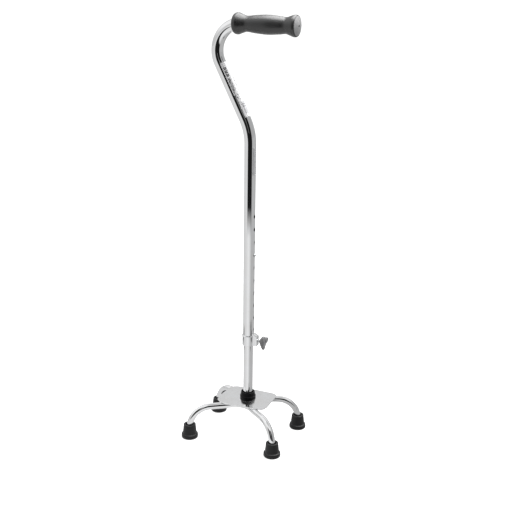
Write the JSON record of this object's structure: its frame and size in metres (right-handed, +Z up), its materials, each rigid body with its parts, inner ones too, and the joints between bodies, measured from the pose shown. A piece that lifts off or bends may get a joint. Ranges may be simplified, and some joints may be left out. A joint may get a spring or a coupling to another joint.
{
  "type": "quad walking cane",
  "caption": "Chrome offset-handle walking cane that stands on a small plate with bent tube legs and rubber feet, with push-button height setting and a clamp screw.",
  "frame": {"origin": "on the floor, at the centre of the four feet", "axes": "+Z up, +X the way the handle points, +Y the user's side, to which the shaft is offset"},
  "size_m": [0.2104, 0.163, 0.8167],
  "materials": {
    "chrome_tube": "bright nickel-chrome plate, mirror polished",
    "chrome_plate": "bright chrome plate on flat sheet",
    "chrome_collar": "bright chrome plate on pressed sheet",
    "grip_rubber": "dark grey moulded vinyl, fine matte skin",
    "foot_rubber": "black moulded rubber, satin",
    "boot_rubber": "black moulded rubber, satin",
    "knob_plastic": "mid grey moulded plastic, satin",
    "zinc_steel": "bright zinc plate",
    "spring_steel": "blued spring strip",
    "nylon": "natural nylon",
    "label_vinyl": "white printed vinyl film"
  },
  "bodies": {
    "base": {"base_plate": "chrome_plate", "leg_tube_outer": "chrome_tube", "leg_tube_inner": "chrome_tube", "foot_front_outer": "foot_rubber", "foot_rear_outer": "foot_rubber", "foot_front_inner": "foot_rubber", "foot_rear_inner": "foot_rubber", "foot_washer_front_outer": "zinc_steel", "foot_washer_rear_outer": "zinc_steel", "foot_washer_front_inner": "zinc_steel", "foot_washer_rear_inner": "zinc_steel", "base_bolt": "zinc_steel", "base_washer": "zinc_steel", "shaft_plug": "zinc_steel", "shaft_boot": "boot_rubber", "lower_tube": "chrome_tube", "snap_spring": "spring_steel"},
    "button": {"snap_button": "zinc_steel"},
    "carriage": {"guide_bush": "nylon"},
    "upper": {"upper_tube": "chrome_tube", "handle_grip": "grip_rubber", "label_upper": "label_vinyl", "label_middle": "label_vinyl", "label_lower": "label_vinyl", "collar": "chrome_collar", "clamp_nut": "zinc_steel"},
    "pad": {"screw_pad": "nylon"},
    "knob": {"thumb_screw": "zinc_steel", "thumb_knob": "knob_plastic"}
  },
  "joints": [
    {"name": "height_slide", "type": "slide", "parent": "base", "child": "carriage", "axis": [0, 0, 1], "range_m": [-0.0762, 0.1524], "deforming": ["snap_button"]},
    {"name": "handle_turn", "type": "hinge", "parent": "carriage", "child": "upper", "pos_m": [0, 0.016, 0.186], "axis": [0, 0, 1], "range_deg": [0, 180]},
    {"name": "button_press", "type": "slide", "parent": "base", "child": "button", "axis": [-1, 0, 0], "range_m": [0, 0.004], "stiffness_N_per_m": 800, "springref_m": -0.002, "deforming": ["snap_spring"]},
    {"name": "clamp_travel", "type": "slide", "parent": "upper", "child": "pad", "axis": [1, 0, 0], "range_m": [0, 0.0016]},
    {"name": "clamp_turn", "type": "hinge", "parent": "pad", "child": "knob", "pos_m": [0.03, 0.016, 0.1946], "axis": [1, 0, 0], "range_deg": [0, 720.5]}
  ],
  "couplings": [
    {"joint": "clamp_turn", "follows": "clamp_travel", "rad_per_m": 7854}
  ]
}
